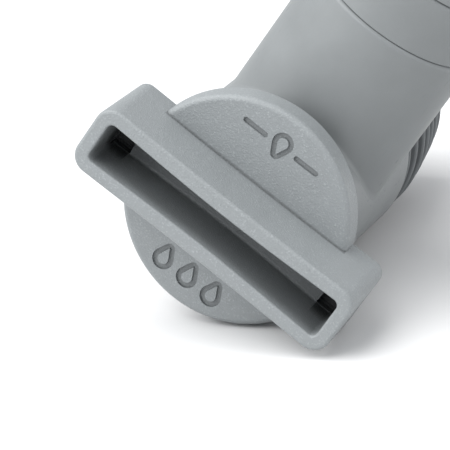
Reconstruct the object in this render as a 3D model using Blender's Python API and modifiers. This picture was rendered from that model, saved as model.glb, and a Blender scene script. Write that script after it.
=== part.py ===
"""Rotary pour spout: a ringed bottle stopper, a plug valve with a T-bar knob, and a swivel nozzle.

Frame: +Z runs along the valve axis from the bottle to the knob, and +Y along the branch tube.
The origin is on the valve axis, in the plane of the barrel's end face, level with the bottle's lip.
All sizes below are millimetres; the helpers turn them into metres.
"""

import math

import bmesh
import bpy

MM = 0.001

# Fits
REST_GAP = 0.3  # between faces that rest on each other
FIT_GAP = 0.1  # radial, between a fixed piece and its bore
SEGMENTS = 48  # sides of the barrel, the plug and their bores
SMALL_SEGMENTS = 32  # sides of the smaller turned pieces

# Knob: a hollow bar on a round disc
BAR_LENGTH = 36.6  # at its foot; the draft makes it 36.0 at the rim
BAR_WIDTH = 9.2
BAR_HEIGHT = 11.2
BAR_CORNER = 2.15
BAR_WALL = 1.8
BAR_END_WALL = 1.7
BAR_DRAFT = 0.3
CAVITY_CORNER = 0.7
CAVITY_DEPTH = 7.6
POCKET_DEPTH = 8.7
DISC_RADIUS = 13.7
DISC_THICKNESS = 3.6
DISC_EDGE = 0.7
RIM_Z = 37.1
MARK_OFFSET = 9.9  # from the valve axis to the middle of each row of marks
MARK_HEIGHT = 3.4
MARK_DEPTH = 0.3

# Valve body: barrel and branch tube
BARREL_RADIUS = 12.2
BARREL_BORE = 8.8
BRANCH_RADIUS = 10.8
BRANCH_BORE = 9.0
BRANCH_AXIS_Z = 12.6
BRANCH_END = 25.4
PORT_RADIUS = 4.6
SEAL_RADIUS = 5.7
CEILING_Z = 22.4  # underside of the barrel's top wall
CORE_SEAT_RADIUS = 9.6
CORE_SEAT_DEPTH = 3.6
EDGE = 0.4  # rounding of moulded edges

# Plug and stem
PLUG_RADIUS = 8.72
PLUG_BOTTOM = 4.4
PLUG_TOP = 21.4
PLUG_HOLLOW_RADIUS = 6.4
PLUG_HOLLOW_TOP = 16.6
STEM_RADIUS = 3.9
DRIVE_WIDTH = 5.2
DRIVE_TOP = 27.4
INSERT_TOP = 28.9
STOP_PIN_OFFSET = 7.3
STOP_PIN_RADIUS = 0.8

# Stopper
CORE_RADIUS = 7.0
CORE_BORE = 5.4
CORE_END = -25.0
SLEEVE_RADIUS = 8.4
SLEEVE_END = -23.6
FIN_RADII = (12.0, 12.0, 12.0, 11.7, 11.3, 10.9, 10.4)
FIN_PITCH = 3.17
FIRST_FIN_Z = -1.3
AIR_TUBE_OFFSET = -2.6
AIR_TUBE_RADIUS = 1.5
AIR_TUBE_BORE = 0.9
AIR_TUBE_TOP = 9.5
AIR_TUBE_END = -33.0

# Outlet: a fixed ring, and a nozzle that turns in it
RING_RADIUS = 10.55
RING_START = BRANCH_END + REST_GAP
RING_END = 32.4
RING_BORE = 7.0
RING_SPIGOT_RADIUS = BRANCH_BORE - FIT_GAP
RING_SPIGOT_START = 19.6
NOZZLE_START = RING_END + REST_GAP
NOZZLE_SPIGOT_START = 17.2
NOZZLE_SPIGOT_RADIUS = 6.92
NOZZLE_BORE = 5.2
NOZZLE_STRAIGHT = 3.4
NOZZLE_TAPER = 15.0
NOZZLE_TIP_RADIUS = 6.7
NOZZLE_END = 60.0
MOUTH_SLANT = math.radians(24)

DISC_BACK = RIM_Z - BAR_HEIGHT
DISC_FRONT = DISC_BACK + DISC_THICKNESS
CAVITY_FLOOR = RIM_Z - CAVITY_DEPTH
BARREL_TOP = DISC_BACK - REST_GAP

GREY = (0.38, 0.41, 0.42)


def clear_scene():
    for obj in list(bpy.data.objects):
        bpy.data.objects.remove(obj, do_unlink=True)


def make_collection(name):
    collection = bpy.data.collections.new(name)
    bpy.context.scene.collection.children.link(collection)
    return collection


clear_scene()
SPOUT = make_collection("pour_spout")
CUTTERS = make_collection("cutters")


def make_material(name, colour, roughness, metallic=0.0):
    material = bpy.data.materials.new(name)
    material.use_nodes = True
    shader = material.node_tree.nodes["Principled BSDF"]
    shader.inputs["Base Color"].default_value = (*colour, 1.0)
    shader.inputs["Roughness"].default_value = roughness
    shader.inputs["Metallic"].default_value = metallic
    material.diffuse_color = (*colour, 1.0)
    return material


def add_object(name, mesh, material=None):
    """A part when it has a material, and a cutter when it has none."""
    obj = bpy.data.objects.new(name, mesh)
    if material is None:
        CUTTERS.objects.link(obj)
        obj.hide_render = True
        obj.display_type = "WIRE"
    else:
        SPOUT.objects.link(obj)
        obj.data.materials.append(material)
    return obj


def turned(name, profile, material=None, segments=SMALL_SEGMENTS):
    """Turn (radius, height) points about local Z. The outer side runs from top to bottom.

    A profile that starts and ends on the axis is left open; any other one is a closed section.
    A cutter starts a third of a side further round, so that its edges cross the part's own.
    """
    mesh = bpy.data.meshes.new(name)
    count = len(profile)
    start = 0.0 if material else math.tau / segments / 3
    edges = [(i, i + 1) for i in range(count - 1)]
    if profile[0][0] > 0:
        edges.append((count - 1, 0))
    across, aside = math.cos(start) * MM, math.sin(start) * MM
    points = [(radius * across, radius * aside, height * MM) for radius, height in profile]
    mesh.from_pydata(points, edges, [])
    obj = add_object(name, mesh, material)
    screw = obj.modifiers.new("Turn", "SCREW")
    screw.axis = "Z"
    screw.angle = math.tau
    screw.steps = segments
    screw.render_steps = segments
    screw.use_merge_vertices = True
    screw.merge_threshold = 0.00001
    screw.use_smooth_shade = True
    return obj


def rod(name, radius, low, high, material=None, segments=SMALL_SEGMENTS):
    return turned(name, [(0, high), (radius, high), (radius, low), (0, low)], material, segments)


def ring(name, inner, outer, low, high, material=None, segments=SMALL_SEGMENTS):
    section = [(outer, high), (outer, low), (inner, low), (inner, high)]
    return turned(name, section, material, segments)


def o_ring(name, inner, outer, height, material, segments=28, sides=6):
    """A torus that fills the radial space between its groove and its bore."""
    wire = (outer - inner) / 2
    middle = (outer + inner) / 2
    angles = [math.tau * (i + 0.5) / sides for i in range(sides)]
    section = [(middle + wire * math.sin(a), height + wire * math.cos(a)) for a in angles]
    return turned(name, section, material, segments)


def prism(name, outline, low, high, material=None, draft=0.0):
    """Extrude an outline of (x, y) points, drawn in by the draft at its top."""
    mesh = bpy.data.meshes.new(name)
    bm = bmesh.new()
    base = bm.faces.new([bm.verts.new((x * MM, y * MM, low * MM)) for x, y in outline])
    raised = bmesh.ops.extrude_face_region(bm, geom=[base])["geom"]
    for vertex in (item for item in raised if isinstance(item, bmesh.types.BMVert)):
        vertex.co.x -= math.copysign(draft * MM, vertex.co.x)
        vertex.co.y -= math.copysign(draft * MM, vertex.co.y)
        vertex.co.z = high * MM
    bmesh.ops.recalc_face_normals(bm, faces=bm.faces)
    bm.to_mesh(mesh)
    bm.free()
    return add_object(name, mesh, material)


def rounded_rectangle(length, width, radius, steps=5):
    points = []
    for quarter in range(4):
        side_x = 1 if quarter in (0, 3) else -1
        side_y = 1 if quarter in (0, 1) else -1
        for step in range(steps + 1):
            angle = math.radians(90 * (quarter + step / steps))
            x = side_x * (length / 2 - radius) + radius * math.cos(angle)
            y = side_y * (width / 2 - radius) + radius * math.sin(angle)
            points.append((x, y))
    return points


def rectangle(x_low, x_high, y_low, y_high):
    return [(x_low, y_low), (x_high, y_low), (x_high, y_high), (x_low, y_high)]


def drop_outline(x, y, height, steps=14):
    """A water drop whose tip points to the bar, towards y = 0."""
    turn = 1 if y < 0 else -1
    points = []
    for step in range(steps):
        angle = math.tau * step / steps
        across = 0.42 * height * math.sin(angle) * math.sin(angle / 2) ** 1.5
        along = 0.5 * height * math.cos(angle)
        points.append((x + turn * across, y + turn * along))
    return points


def arc(centre_radius, centre_height, radius, start, end, steps):
    """Points of a fillet in a turned profile; angles in degrees, 0 outwards and 90 up."""
    angles = [math.radians(start + (end - start) * i / steps) for i in range(steps + 1)]
    return [
        (centre_radius + radius * math.cos(a), centre_height + radius * math.sin(a)) for a in angles
    ]


def combine(target, tool, operation):
    boolean = target.modifiers.new(tool.name, "BOOLEAN")
    boolean.operation = operation
    boolean.solver = "EXACT"
    boolean.object = tool


def cut(target, *tools):
    for tool in tools:
        combine(target, tool, "DIFFERENCE")


def join(target, *tools):
    for tool in tools:
        combine(target, tool, "UNION")


def place(obj, x=0.0, y=0.0, z=0.0):
    obj.location = (x * MM, y * MM, z * MM)
    return obj


def along_branch(obj):
    """Stand a turned piece on the branch's axis: its height then runs along +Y."""
    obj.rotation_euler = (-math.pi / 2, 0.0, 0.0)
    return place(obj, z=BRANCH_AXIS_Z)


MOULDED = make_material("grey_moulding", GREY, 0.5)
GRAINED = make_material("grey_grained", (0.40, 0.43, 0.44), 0.6)
PLUG_PLASTIC = make_material("white_acetal", (0.78, 0.78, 0.75), 0.4)
SOFT = make_material("soft_grey", (0.33, 0.36, 0.37), 0.7)
RUBBER = make_material("black_rubber", (0.03, 0.03, 0.03), 0.7)
STEEL = make_material("stainless_steel", (0.55, 0.55, 0.55), 0.3, 1.0)
BRASS = make_material("brass", (0.70, 0.52, 0.22), 0.3, 1.0)


def build_valve_body():
    """Barrel and branch tube in one moulding, bored for the plug and for the outlet ring."""
    barrel = [(0, BARREL_TOP), (BARREL_RADIUS - EDGE, BARREL_TOP)]
    barrel += [(BARREL_RADIUS, BARREL_TOP - EDGE), (BARREL_RADIUS, 0), (0, 0)]
    body = turned("valve_body", barrel, MOULDED, SEGMENTS)
    branch = [(0, BRANCH_END)]
    branch += arc(BRANCH_RADIUS - EDGE, BRANCH_END - EDGE, EDGE, 90, 0, 2)
    branch += [(BRANCH_RADIUS, 3), (0, 3)]
    join(body, along_branch(turned("branch_tool", branch, None, SEGMENTS)))

    plug_bore = rod("plug_bore", BARREL_BORE, -1, CEILING_Z, None, SEGMENTS)
    core_seat = rod("core_seat", CORE_SEAT_RADIUS, -1, CORE_SEAT_DEPTH, None, SEGMENTS)
    stem_hole = rod("stem_hole", 5.2, CEILING_Z - 1, BARREL_TOP + 1)
    port = along_branch(rod("body_port", PORT_RADIUS, 4, 14))
    outlet_bore = along_branch(rod("outlet_bore", BRANCH_BORE, 12.4, BRANCH_END + 1, None, SEGMENTS))
    cut(body, plug_bore, core_seat, stem_hole, port, outlet_bore)

    seal_recess = along_branch(rod("seal_recess", SEAL_RADIUS + 0.2, 4, 12, None, 36))
    combine(seal_recess, rod("recess_depth", 9.95, 0, 22, None, SEGMENTS), "INTERSECT")
    cut(body, seal_recess)

    # The stop pin runs in this half-turn groove in the top wall, round the valve axis.
    margin = math.degrees(math.asin((STOP_PIN_RADIUS + 0.15) / STOP_PIN_OFFSET))
    groove = ring("stop_groove", 6.3, 8.3, CEILING_Z - 0.5, 24.3)
    keep = rectangle(-10, 10, -10, 0)
    land = prism("groove_land", keep, 22, 25)
    cut(groove, land)
    end = STOP_PIN_OFFSET * math.cos(math.radians(margin / 2))
    run_out = STOP_PIN_RADIUS + 0.2
    for side in (-1, 1):
        eye = rod(f"groove_end_{side + 1}", run_out, CEILING_Z - 0.6, 24.3, None, 20)
        join(groove, place(eye, x=side * end))
    cut(body, groove)
    return body


def build_port_seal():
    """A saddle ring round the body's port; its inner face follows the plug."""
    seal = along_branch(ring("port_seal", PORT_RADIUS + 0.1, SEAL_RADIUS, 4, 12, RUBBER))
    combine(seal, rod("seal_back", 9.75, 0, 22, None, SEGMENTS), "INTERSECT")
    cut(seal, rod("seal_front", PLUG_RADIUS + 0.13, 0, 22, None, SEGMENTS))
    return seal


def build_valve_plug():
    """The hollow plug: open below, one side port, and a stem with a square drive."""
    groove_low, groove_high, groove_radius = 17.6, 19.2, 7.4
    stem_low, stem_high, stem_groove = 24.0, 25.0, 3.1
    profile = [
        (0, DISC_BACK - 0.1),
        (STEM_RADIUS, DISC_BACK - 0.1),
        (STEM_RADIUS, stem_high),
        (stem_groove, stem_high),
        (stem_groove, stem_low),
        (STEM_RADIUS, stem_low),
        (STEM_RADIUS, PLUG_TOP),
        (PLUG_RADIUS, PLUG_TOP),
        (PLUG_RADIUS, groove_high),
        (groove_radius, groove_high),
        (groove_radius, groove_low),
        (PLUG_RADIUS, groove_low),
        (PLUG_RADIUS, PLUG_BOTTOM),
        (PLUG_HOLLOW_RADIUS, PLUG_BOTTOM),
        (PLUG_HOLLOW_RADIUS, PLUG_HOLLOW_TOP),
        (0, PLUG_HOLLOW_TOP),
    ]
    plug = turned("valve_plug", profile, PLUG_PLASTIC, SEGMENTS)
    half = DRIVE_WIDTH / 2
    join(plug, prism("plug_drive", rectangle(-half, half, -half, half), 25.5, DRIVE_TOP))
    port = along_branch(rod("plug_port", PORT_RADIUS, -12, -3))
    insert_hole = rod("insert_hole", 2.0, 20.5, 29, None, 24)
    screw_hole = rod("screw_hole", 1.4, 15, 21, None, 20)
    pin_hole = place(rod("pin_hole", STOP_PIN_RADIUS + 0.05, 19.6, 23, None, 16), x=STOP_PIN_OFFSET)
    cut(plug, port, insert_hole, screw_hole, pin_hole)

    o_ring("plug_oring", groove_radius + 0.05, PLUG_RADIUS - 0.02, 18.4, RUBBER)
    o_ring("stem_oring", stem_groove + 0.03, STEM_RADIUS, 24.5, RUBBER, 20)
    pin = rod("stop_pin", STOP_PIN_RADIUS, 19.8, 24.0, STEEL, 16)
    place(pin, x=STOP_PIN_OFFSET)
    return plug


def build_bearings():
    """The bush round the stem, and the two washers that the plug turns between."""
    ring("stem_bush", 4.0, 5.1, CEILING_Z + 0.1, BARREL_TOP - 0.1, PLUG_PLASTIC)
    ring("thrust_washer", 4.1, 6.0, PLUG_TOP + 0.25, CEILING_Z - 0.25, PLUG_PLASTIC)
    ring("lower_washer", 6.6, 8.5, CORE_SEAT_DEPTH - 0.05, PLUG_BOTTOM - 0.25, PLUG_PLASTIC)


def build_knob():
    """Disc and hollow bar in one moulding, with a square socket for the stem."""
    disc = [(0, DISC_FRONT)]
    disc += arc(DISC_RADIUS - DISC_EDGE, DISC_FRONT - DISC_EDGE, DISC_EDGE, 90, 0, 3)
    disc += [(DISC_RADIUS, DISC_BACK), (0, DISC_BACK)]
    knob = turned("knob", disc, GRAINED, SEGMENTS)
    engrave_marks(knob)

    bar_outline = rounded_rectangle(BAR_LENGTH, BAR_WIDTH, BAR_CORNER)
    join(knob, prism("bar_tool", bar_outline, DISC_BACK, RIM_Z, draft=BAR_DRAFT))

    inner_length = BAR_LENGTH - 2 * (BAR_DRAFT + BAR_END_WALL)
    inner_width = BAR_WIDTH - 2 * (BAR_DRAFT + BAR_WALL)
    opening = rounded_rectangle(inner_length, inner_width, CAVITY_CORNER, 3)
    cut(knob, prism("cavity", opening, CAVITY_FLOOR, RIM_Z + 1))
    pocket_floor = RIM_Z - POCKET_DEPTH
    for side in (-1, 1):
        ends = sorted((side * DISC_RADIUS, side * (inner_length / 2 - 0.05)))
        outline = rectangle(*ends, 0.05 - inner_width / 2, inner_width / 2 - 0.05)
        cut(knob, prism(f"pocket_{side + 1}", outline, pocket_floor, CAVITY_FLOOR + 1))

    half = DRIVE_WIDTH / 2 + 0.1
    socket = prism("socket", rectangle(-half, half, -half, half), DISC_BACK - 1, DRIVE_TOP + 0.2)
    cut(knob, socket, rod("insert_seat", 2.0, DRIVE_TOP, INSERT_TOP + 0.1, None, 24))
    return knob


def engrave_marks(knob):
    """Open side (-Y): three drops. Closed side (+Y): one drop between two bars."""
    floor = DISC_FRONT - MARK_DEPTH
    top = DISC_FRONT + 0.5
    for number, x in enumerate((-3.5, 0.05, 3.55)):
        cut(knob, prism(f"open_drop_{number}", drop_outline(x, -MARK_OFFSET, MARK_HEIGHT), floor, top))
    cut(knob, prism("closed_drop", drop_outline(0.0, MARK_OFFSET, MARK_HEIGHT), floor, top))
    for side in (-1, 1):
        ends = sorted((side * 2.1, side * 5.2))
        outline = rectangle(*ends, MARK_OFFSET - 0.35, MARK_OFFSET + 0.35)
        cut(knob, prism(f"closed_bar_{side + 1}", outline, floor, top))


def build_knob_fasteners():
    """The brass bush moulded into the knob, and the screw that draws it down from the plug's hollow."""
    ring("threaded_insert", 1.3, 1.9, 21.0, INSERT_TOP, BRASS, 24)
    washer_high = PLUG_HOLLOW_TOP - 0.1
    washer_low = washer_high - 0.3
    ring("screw_washer", 1.4, 2.3, washer_low, washer_high, STEEL, 28)
    head_high = washer_low - 0.1
    head_low = head_high - 1.3
    profile = [(0, 27.4), (0.5, 27.4), (1.2, 26.6), (1.2, head_high), (2.1, head_high)]
    profile += [(2.1, head_low + 0.6), (1.5, head_low), (0, head_low)]
    screw = turned("knob_screw", profile, STEEL, 28)
    for number, (x, y) in enumerate(((1.1, 0.25), (0.25, 1.1))):
        cut(screw, prism(f"recess_{number}", rectangle(-x, x, -y, y), head_low - 1, head_low + 0.8))
    return screw


def build_stopper():
    """The moulded core that closes the barrel, and the ringed soft sleeve on it."""
    flange_radius = CORE_SEAT_RADIUS - FIT_GAP
    groove_low, groove_high, groove_radius = 1.0, 2.4, 8.35
    flange_top = CORE_SEAT_DEPTH - REST_GAP
    sleeve_stop = SLEEVE_END - REST_GAP
    profile = [
        (flange_radius, flange_top),
        (flange_radius, groove_high),
        (groove_radius, groove_high),
        (groove_radius, groove_low),
        (flange_radius, groove_low),
        (flange_radius, 0.1),
        (CORE_RADIUS, 0.1),
        (CORE_RADIUS, sleeve_stop),
        (CORE_RADIUS + 0.8, sleeve_stop),
        (CORE_RADIUS - 0.3, CORE_END),
        (CORE_BORE, CORE_END),
        (CORE_BORE, flange_top),
    ]
    turned("stopper_core", profile, MOULDED, SEGMENTS)
    o_ring("core_oring", groove_radius + 0.03, flange_radius, 1.7, RUBBER)

    sleeve = [(SLEEVE_RADIUS, -REST_GAP)]
    for number, radius in enumerate(FIN_RADII):
        middle = FIRST_FIN_Z - number * FIN_PITCH
        sleeve += [(SLEEVE_RADIUS, middle + 0.65), (radius, middle + 0.4)]
        sleeve += [(radius, middle - 0.4), (SLEEVE_RADIUS, middle - 0.65)]
    bore = CORE_RADIUS + 0.2
    sleeve += [(SLEEVE_RADIUS - 0.2, SLEEVE_END), (bore, SLEEVE_END), (bore, -REST_GAP)]
    turned("finned_sleeve", sleeve, SOFT, SMALL_SEGMENTS)


def build_breather():
    """The air tube, and the spider that holds it in the mouth of the core."""
    low, high = CORE_END + 0.2, CORE_END + 2.2
    rim = CORE_BORE - FIT_GAP
    spider = ring("inlet_spider", rim - 0.8, rim, low, high, MOULDED)
    hub = place(rod("spider_hub", AIR_TUBE_RADIUS + 0.8, low + 0.1, high - 0.1), y=AIR_TUBE_OFFSET)
    reach = rim - 0.4
    web_low, web_high = low + 0.2, high - 0.2
    spine = prism("spider_spine", rectangle(-0.4, 0.4, -reach, reach), web_low, web_high)
    arm = prism("spider_arm", rectangle(-reach, reach, -0.4, 0.4), web_low + 0.1, web_high - 0.1)
    join(spider, hub, spine, arm)
    tube_hole = rod("air_tube_hole", AIR_TUBE_RADIUS + FIT_GAP, low - 1, high + 1, None, 24)
    cut(spider, place(tube_hole, y=AIR_TUBE_OFFSET))
    tube = ring("air_tube", AIR_TUBE_BORE, AIR_TUBE_RADIUS, AIR_TUBE_END, AIR_TUBE_TOP, STEEL, 24)
    place(tube, y=AIR_TUBE_OFFSET)


def build_outlet_ring():
    """The ring fixed in the branch's end, which the nozzle turns in."""
    groove_low, groove_high, groove_radius = 21.0, 22.5, 7.9
    profile = arc(RING_RADIUS - EDGE, RING_END - EDGE, EDGE, 90, 0, 2)
    profile += [
        (RING_RADIUS, RING_START),
        (RING_SPIGOT_RADIUS, RING_START),
        (RING_SPIGOT_RADIUS, groove_high),
        (groove_radius, groove_high),
        (groove_radius, groove_low),
        (RING_SPIGOT_RADIUS, groove_low),
        (RING_SPIGOT_RADIUS, RING_SPIGOT_START),
        (RING_BORE, RING_SPIGOT_START),
        (RING_BORE, RING_END),
    ]
    along_branch(turned("outlet_ring", profile, MOULDED, SEGMENTS))
    middle = (groove_low + groove_high) / 2
    along_branch(o_ring("outlet_oring", groove_radius + 0.03, RING_SPIGOT_RADIUS, middle, RUBBER))


def build_nozzle():
    """The swivelling nozzle with its slanted mouth, its seal and the clip that keeps it in."""
    seal_low, seal_high, seal_radius = 24.0, 25.2, 6.1
    clip_low, clip_high, clip_radius = 18.3, 19.3, 6.1
    taper_start = NOZZLE_START + NOZZLE_STRAIGHT
    steps = 6
    profile = [(NOZZLE_TIP_RADIUS, NOZZLE_END)]
    for step in range(steps + 1):
        share = 1 - step / steps
        blend = (1 + math.cos(math.pi * share)) / 2
        radius = NOZZLE_TIP_RADIUS + (RING_RADIUS - NOZZLE_TIP_RADIUS) * blend
        profile.append((radius, taper_start + NOZZLE_TAPER * share))
    profile += [
        (RING_RADIUS, NOZZLE_START),
        (NOZZLE_SPIGOT_RADIUS, NOZZLE_START),
        (NOZZLE_SPIGOT_RADIUS, seal_high),
        (seal_radius, seal_high),
        (seal_radius, seal_low),
        (NOZZLE_SPIGOT_RADIUS, seal_low),
        (NOZZLE_SPIGOT_RADIUS, clip_high),
        (clip_radius, clip_high),
        (clip_radius, clip_low),
        (NOZZLE_SPIGOT_RADIUS, clip_low),
        (NOZZLE_SPIGOT_RADIUS, NOZZLE_SPIGOT_START),
        (NOZZLE_BORE, NOZZLE_SPIGOT_START),
        (NOZZLE_BORE, NOZZLE_END),
    ]
    nozzle = along_branch(turned("nozzle", profile, MOULDED, SEGMENTS))
    trim = prism("mouth_trim", rectangle(-12, 12, 0, 20), -20, 20)
    trim.rotation_euler = (MOUTH_SLANT, 0.0, 0.0)
    drop = NOZZLE_TIP_RADIUS * math.tan(MOUTH_SLANT)
    place(trim, y=NOZZLE_END - drop, z=BRANCH_AXIS_Z)
    cut(nozzle, trim)

    seal_middle = (seal_low + seal_high) / 2
    seal = o_ring("nozzle_oring", seal_radius + 0.03, NOZZLE_SPIGOT_RADIUS - 0.02, seal_middle, RUBBER)
    along_branch(seal)
    clip = ring("nozzle_clip", clip_radius + 0.1, 7.9, clip_low + 0.1, clip_high - 0.1, STEEL)
    along_branch(clip)
    cut(clip, place(prism("clip_gap", rectangle(-2.6, 2.6, 17, 21), 3, 12), z=BRANCH_AXIS_Z))


build_valve_body()
build_port_seal()
build_valve_plug()
build_bearings()
build_knob()
build_knob_fasteners()
build_stopper()
build_breather()
build_outlet_ring()
build_nozzle()
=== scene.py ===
import math

import bmesh
import bpy
from mathutils import Matrix, Vector


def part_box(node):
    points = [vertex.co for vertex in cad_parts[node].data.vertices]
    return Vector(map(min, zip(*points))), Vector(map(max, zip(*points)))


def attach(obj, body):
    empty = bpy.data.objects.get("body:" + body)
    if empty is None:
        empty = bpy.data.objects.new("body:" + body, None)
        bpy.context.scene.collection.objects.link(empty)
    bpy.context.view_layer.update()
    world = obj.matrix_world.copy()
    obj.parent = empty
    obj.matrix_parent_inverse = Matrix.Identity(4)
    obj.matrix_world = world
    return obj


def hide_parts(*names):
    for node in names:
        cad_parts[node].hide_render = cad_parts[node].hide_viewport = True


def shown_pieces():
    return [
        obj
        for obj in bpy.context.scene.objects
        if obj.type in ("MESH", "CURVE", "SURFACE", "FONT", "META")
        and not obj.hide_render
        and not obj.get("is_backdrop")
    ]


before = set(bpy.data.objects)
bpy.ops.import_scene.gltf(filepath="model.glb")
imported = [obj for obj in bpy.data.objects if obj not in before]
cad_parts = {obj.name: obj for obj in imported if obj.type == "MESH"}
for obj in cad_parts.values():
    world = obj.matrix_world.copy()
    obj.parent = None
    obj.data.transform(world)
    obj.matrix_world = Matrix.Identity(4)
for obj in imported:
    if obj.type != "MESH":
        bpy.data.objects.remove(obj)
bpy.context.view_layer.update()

# Knob: one injection moulding in grey plastic with a fine spark-eroded grain. A hollow finger
# bar stands across a round disc; the hollow is open to the front, with a deeper pocket past the
# disc at each end. The plug's square drive sits in a socket in the disc's back.
MM = 0.001


def box_mm(node):
    low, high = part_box(node)
    return low / MM, high / MM


def solid(name, bm):
    """Closed mesh from millimetres, faces outwards."""
    bmesh.ops.remove_doubles(bm, verts=bm.verts, dist=1e-5)
    bmesh.ops.recalc_face_normals(bm, faces=bm.faces)
    bmesh.ops.scale(bm, verts=bm.verts, vec=(MM, MM, MM))
    mesh = bpy.data.meshes.new(name)
    bm.to_mesh(mesh)
    bm.free()
    piece = bpy.data.objects.new(name, mesh)
    bpy.context.scene.collection.objects.link(piece)
    return piece


def loft(name, rings, hollow=False):
    """Skin rings of equal point counts; the ends are capped, or joined up in a hollow."""
    bm = bmesh.new()
    rows = [[bm.verts.new(point) for point in points] for points in rings]
    count = len(rows[0])
    pairs = list(zip(rows, rows[1:]))
    if hollow:
        pairs.append((rows[-1], rows[0]))
    for lower, upper in pairs:
        for i in range(count):
            j = (i + 1) % count
            bm.faces.new((lower[i], lower[j], upper[j], upper[i]))
    if not hollow:
        bm.faces.new(rows[0])
        bm.faces.new(rows[-1])
    return solid(name, bm)


def rounded(corners, steps=5):
    """Profile points from (radius, height, fillet) corners of a closed section."""
    points = []
    count = len(corners)
    for i, (radius, height, fillet) in enumerate(corners):
        here = Vector((radius, height))
        if fillet == 0:
            points.append(here)
            continue
        before = Vector(corners[i - 1][:2]) - here
        after = Vector(corners[(i + 1) % count][:2]) - here
        half = before.angle(after) / 2
        reach = min(fillet / math.tan(half), before.length * 0.49, after.length * 0.49)
        fillet = reach * math.tan(half)
        centre = here + (before.normalized() + after.normalized()).normalized() * fillet / math.sin(half)
        start = here + before.normalized() * reach - centre
        end = here + after.normalized() * reach - centre
        sweep = start.angle(end)
        for step in range(steps + 1):
            share = step / steps
            from_start = math.sin((1 - share) * sweep) / math.sin(sweep)
            from_end = math.sin(share * sweep) / math.sin(sweep)
            points.append(centre + start * from_start + end * from_end)
    return points


def turned(name, corners, sides=144, axis_z=None, axis_xy=(0.0, 0.0), sheared=None, steps=5):
    """Turn a section about the valve axis, or about the branch's axis when axis_z is given."""
    rings = []
    for radius, height in rounded(corners, steps):
        ring = []
        for side in range(sides):
            angle = math.tau * side / sides
            across, aside = radius * math.cos(angle), radius * math.sin(angle)
            if axis_z is None:
                ring.append((axis_xy[0] + across, axis_xy[1] + aside, height))
            else:
                along = sheared(height, aside) if sheared else height
                ring.append((across, along, axis_z + aside))
        rings.append(ring)
    return loft(name, rings, hollow=True)


def rod(name, radius, low, high, sides=96, axis_z=None, axis_xy=(0.0, 0.0), edge=0.0):
    """A solid cylinder, made as a loft so that its ends are flat caps."""
    levels = [(radius - edge, low), (radius, low + edge), (radius, high - edge), (radius - edge, high)]
    if edge == 0:
        levels = [(radius, low), (radius, high)]
    rings = []
    for level_radius, height in levels:
        angles = [math.tau * (side + 0.37) / sides for side in range(sides)]
        spots = [(level_radius * math.cos(a), level_radius * math.sin(a)) for a in angles]
        if axis_z is None:
            rings.append([(axis_xy[0] + x, axis_xy[1] + y, height) for x, y in spots])
        else:
            rings.append([(x, height, axis_z + y) for x, y in spots])
    return loft(name, rings)


def worked(piece, tools, operation="DIFFERENCE"):
    """Cut the tools away from the piece, or join them on, and bake the result in."""
    for tool in tools:
        boolean = piece.modifiers.new(tool.name, "BOOLEAN")
        boolean.operation = operation
        boolean.solver = "EXACT"
        boolean.object = tool
    graph = bpy.context.evaluated_depsgraph_get()
    mesh = bpy.data.meshes.new_from_object(piece.evaluated_get(graph))
    piece.modifiers.clear()
    piece.data = mesh
    for tool in tools:
        bpy.data.objects.remove(tool, do_unlink=True)
    return piece


def smooth(piece, crease=32):
    """Smooth shading with crisp creases; big flat faces keep their own normal."""
    piece.data.shade_smooth()
    piece.data.set_sharp_from_angle(angle=math.radians(crease))
    weighted = piece.modifiers.new("Flat faces stay flat", "WEIGHTED_NORMAL")
    weighted.keep_sharp = True
    return piece


def fit(piece, body, node, material):
    """The finished piece takes its material and its place on the CAD body."""
    piece.data.materials.clear()
    piece.data.materials.append(material)
    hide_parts(node)
    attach(piece, body)
    return piece


def new_group(name, inputs, outputs):
    group = bpy.data.node_groups.new(name, "ShaderNodeTree")
    for label, value in inputs:
        kind = "NodeSocketColor" if isinstance(value, tuple) else "NodeSocketFloat"
        socket = group.interface.new_socket(name=label, in_out="INPUT", socket_type=kind)
        socket.default_value = value
    for label, kind in outputs:
        group.interface.new_socket(name=label, in_out="OUTPUT", socket_type=kind)
    return group, group.nodes.new("NodeGroupInput"), group.nodes.new("NodeGroupOutput")


def node(tree, kind, settings=(), values=(), links=()):
    """Add a node; settings are attributes, values and links go to named or numbered sockets."""
    made = tree.nodes.new(kind)
    for key, value in settings:
        setattr(made, key, value)
    for key, value in values:
        made.inputs[key].default_value = value
    for key, source in links:
        tree.links.new(source, made.inputs[key])
    return made


def spark_grain_group():
    """Pits of a spark-eroded mould: a height, and a mask of the pits where a highlight is painted into the
    colour.
    """
    sockets = [("Pit Size", 0.0002), ("Sharpness", 0.5)]
    outputs = [("Height", "NodeSocketFloat"), ("Painted Glint", "NodeSocketFloat")]
    group, given, out = new_group("Spark Grain", sockets, outputs)
    place = node(group, "ShaderNodeTexCoord").outputs["Object"]
    scale = node(group, "ShaderNodeMath", [("operation", "DIVIDE")], [(0, 1.0)],
                 [(1, given.outputs["Pit Size"])]).outputs[0]
    pits = node(group, "ShaderNodeTexNoise", [], [("Detail", 2.0), ("Roughness", 0.6)],
                [("Vector", place), ("Scale", scale)]).outputs["Fac"]
    cells = node(group, "ShaderNodeTexVoronoi", [("feature", "SMOOTH_F1")], [("Smoothness", 0.5)],
                 [("Vector", place), ("Scale", scale)]).outputs["Distance"]
    height = node(group, "ShaderNodeMix", [("data_type", "FLOAT")], [],
                  [("Factor", given.outputs["Sharpness"]), ("A", pits), ("B", cells)]).outputs["Result"]
    painted_glint = node(group, "ShaderNodeMapRange", [("interpolation_type", "SMOOTHSTEP")],
                 [("From Min", 0.54), ("From Max", 0.72)], [("Value", pits)]).outputs["Result"]
    group.links.new(height, out.inputs["Height"])
    group.links.new(painted_glint, out.inputs["Painted Glint"])
    return group


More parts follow.
